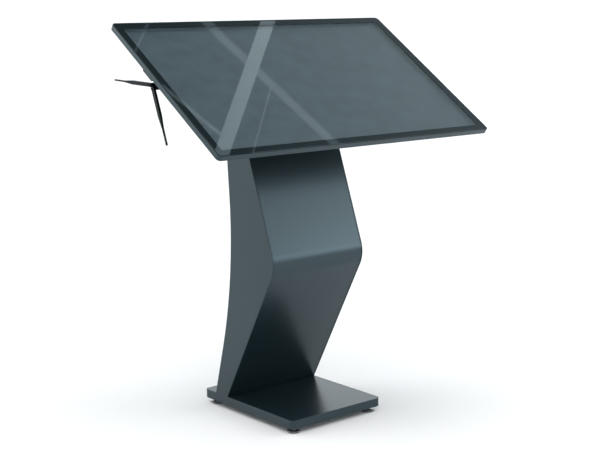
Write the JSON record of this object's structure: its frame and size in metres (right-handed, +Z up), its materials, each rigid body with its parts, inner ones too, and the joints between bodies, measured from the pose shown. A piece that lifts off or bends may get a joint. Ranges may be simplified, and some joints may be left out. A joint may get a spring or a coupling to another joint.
{
  "type": "touchscreen kiosk",
  "caption": "Floor-standing kiosk: a large touchscreen tilted like a lectern on a bent, folded-steel column with a rectangular weighted base, levelling feet and a pull-out computer module.",
  "frame": {"origin": "on the floor, under the middle of the kiosk's bounding box", "axes": "+Z up, +Y from the user towards the back of the kiosk, +X to the user's right"},
  "size_m": [0.988, 0.5316, 1.1458],
  "materials": {
    "powder_coat": "satin anthracite powder coat",
    "dark_coat": "matt black powder coat",
    "anodised": "satin grey anodised",
    "zinc_steel": "zinc-plated",
    "raw_steel": "bare sheet steel",
    "screen_glass": "polished, backed in black around the picture area",
    "panel_grey": "matt grey panel face",
    "black_plastic": "fine matt grain",
    "circuit_board": "green solder resist",
    "brass": "gilt",
    "black_rubber": "matt"
  },
  "bodies": {
    "kiosk_body": {"front_frame": "anodised", "touch_glass": "screen_glass", "lcd_panel": "panel_grey", "rear_chassis": "raw_steel", "electronics_housing": "dark_coat", "power_supply": "zinc_steel", "driver_board": "circuit_board", "speaker_left": "black_plastic", "speaker_right": "black_plastic", "mount_plate": "dark_coat", "mount_bolt_1": "zinc_steel", "mount_bolt_2": "zinc_steel", "mount_bolt_3": "zinc_steel", "mount_bolt_4": "zinc_steel", "head_bracket": "dark_coat", "head_plate": "raw_steel", "head_bolt_1": "zinc_steel", "head_bolt_2": "zinc_steel", "head_bolt_3": "zinc_steel", "head_bolt_4": "zinc_steel", "door_hinge_lower": "dark_coat", "door_hinge_upper": "dark_coat", "mains_inlet": "black_plastic", "side_panel_left": "powder_coat", "side_panel_right": "powder_coat", "front_fascia": "powder_coat", "rear_panel": "powder_coat", "column_spine": "raw_steel", "power_block": "black_plastic", "supply_cable": "black_rubber", "screen_cable": "black_rubber", "base_shell": "powder_coat", "ballast_plate": "raw_steel", "foot_locknut_1": "zinc_steel", "foot_locknut_2": "zinc_steel", "foot_locknut_3": "zinc_steel", "foot_locknut_4": "zinc_steel"},
    "service_door": {"service_door": "powder_coat"},
    "door_lock": {"door_lock_barrel": "zinc_steel", "door_lock_cam": "zinc_steel"},
    "computer_module": {"pc_case": "zinc_steel", "pc_lid": "zinc_steel", "pc_mainboard": "circuit_board", "pc_end_plate": "dark_coat", "pc_pull_handle": "black_plastic", "pc_thumbscrew_1": "zinc_steel", "pc_thumbscrew_2": "zinc_steel", "antenna_socket_1": "brass", "antenna_socket_2": "brass"},
    "fan_rotor": {"pc_fan_rotor": "black_plastic"},
    "power_button": {"pc_power_button": "black_plastic"},
    "antenna_base_1": {"antenna_base_1": "black_plastic"},
    "antenna_blade_1": {"antenna_blade_1": "black_plastic"},
    "antenna_base_2": {"antenna_base_2": "black_plastic"},
    "antenna_blade_2": {"antenna_blade_2": "black_plastic"},
    "rocker": {"rocker_switch": "black_plastic"},
    "foot_1": {"levelling_foot_1": "black_rubber"},
    "foot_2": {"levelling_foot_2": "black_rubber"},
    "foot_3": {"levelling_foot_3": "black_rubber"},
    "foot_4": {"levelling_foot_4": "black_rubber"}
  },
  "joints": [
    {"name": "door_swing", "type": "hinge", "parent": "kiosk_body", "child": "service_door", "pos_m": [-0.1135, 0.14122, 0.78972], "axis": [0, 0.0788, 0.9969], "range_deg": [0, 110]},
    {"name": "door_lock_turn", "type": "hinge", "parent": "service_door", "child": "door_lock", "pos_m": [0.088, 0.13773, 0.79], "axis": [0, 0.9969, -0.0788], "range_deg": [0, 90]},
    {"name": "module_slide", "type": "slide", "parent": "kiosk_body", "child": "computer_module", "axis": [-1, 0, 0], "range_m": [0, 0.18]},
    {"name": "fan_spin", "type": "hinge", "parent": "computer_module", "child": "fan_rotor", "pos_m": [-0.316, 0.06242, 0.98814], "axis": [0, -0.5534, 0.8329], "continuous": true},
    {"name": "power_button_press", "type": "slide", "parent": "computer_module", "child": "power_button", "axis": [1, 0, 0], "range_m": [0, 0.0015], "stiffness_N_per_m": 400, "springref_m": -0.0005},
    {"name": "antenna_swivel_1", "type": "hinge", "parent": "computer_module", "child": "antenna_base_1", "pos_m": [-0.479, 0.05429, 0.98682], "axis": [1, 0, 0], "range_deg": [-80, 30]},
    {"name": "antenna_fold_1", "type": "hinge", "parent": "antenna_base_1", "child": "antenna_blade_1", "pos_m": [-0.479, 0.05429, 0.98682], "axis": [0, -0.0366, 0.9993], "range_deg": [0, 87]},
    {"name": "antenna_swivel_2", "type": "hinge", "parent": "computer_module", "child": "antenna_base_2", "pos_m": [-0.479, 0.04213, 0.97874], "axis": [1, 0, 0], "range_deg": [-30, 80]},
    {"name": "antenna_fold_2", "type": "hinge", "parent": "antenna_base_2", "child": "antenna_blade_2", "pos_m": [-0.479, 0.04213, 0.97874], "axis": [0, 0.9011, -0.4337], "range_deg": [0, 87]},
    {"name": "rocker_tilt", "type": "hinge", "parent": "kiosk_body", "child": "rocker", "pos_m": [0, 0.18167, 0.13882], "axis": [1, 0, 0], "range_deg": [-20, 0]},
    {"name": "foot_turn_1", "type": "hinge", "parent": "kiosk_body", "child": "foot_1", "pos_m": [-0.1434, -0.1232, 0.02], "axis": [0, 0, 1], "continuous": true},
    {"name": "foot_turn_2", "type": "hinge", "parent": "kiosk_body", "child": "foot_2", "pos_m": [0.1434, -0.1232, 0.02], "axis": [0, 0, 1], "continuous": true},
    {"name": "foot_turn_3", "type": "hinge", "parent": "kiosk_body", "child": "foot_3", "pos_m": [-0.1434, 0.2388, 0.02], "axis": [0, 0, 1], "continuous": true},
    {"name": "foot_turn_4", "type": "hinge", "parent": "kiosk_body", "child": "foot_4", "pos_m": [0.1434, 0.2388, 0.02], "axis": [0, 0, 1], "continuous": true}
  ]
}
